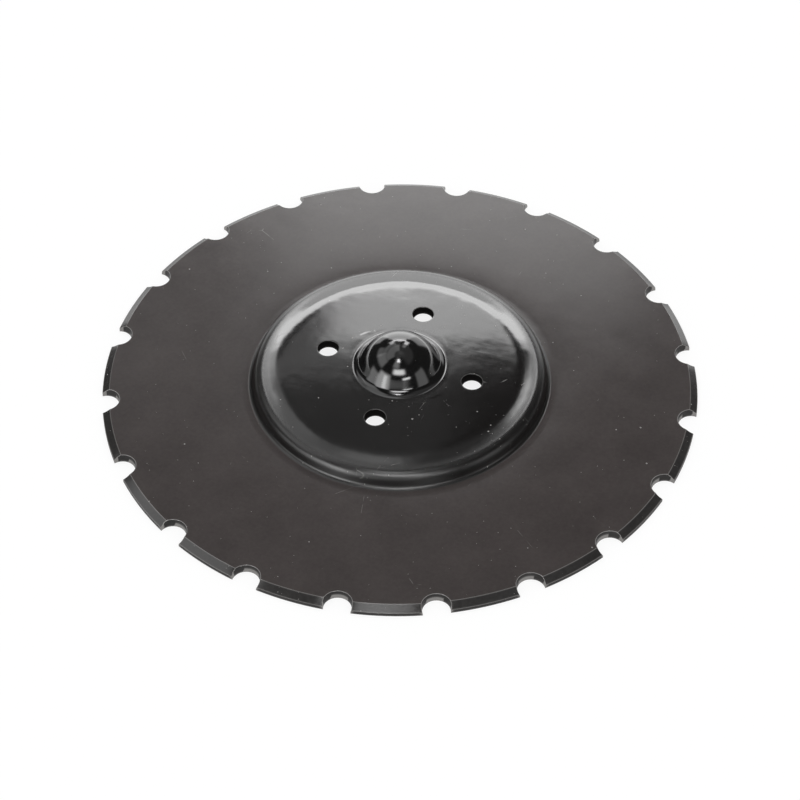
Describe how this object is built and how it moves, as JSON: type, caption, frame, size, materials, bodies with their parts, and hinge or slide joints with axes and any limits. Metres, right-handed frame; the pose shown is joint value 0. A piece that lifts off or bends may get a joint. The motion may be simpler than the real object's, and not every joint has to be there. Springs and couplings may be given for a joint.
{
  "type": "notched disc blade",
  "caption": "Flat soil-cutting disc with a bevelled, round-notched rim, a raised round hub boss with bolt holes, and a central dome that clears the axle end.",
  "frame": {"origin": "centre of the plate's lower face, on the disc's axis, where the blade lies on a flat surface", "axes": "+Z along the disc's axis, out of the dome, on the bevelled side; +X and +Y through bolt holes"},
  "size_m": [0.41, 0.41, 0.0415],
  "materials": {
    "black_enamel": "gloss black enamel on pressed boron steel"
  },
  "bodies": {
    "root": {"disc_blade": "black_enamel"}
  },
  "joints": []
}
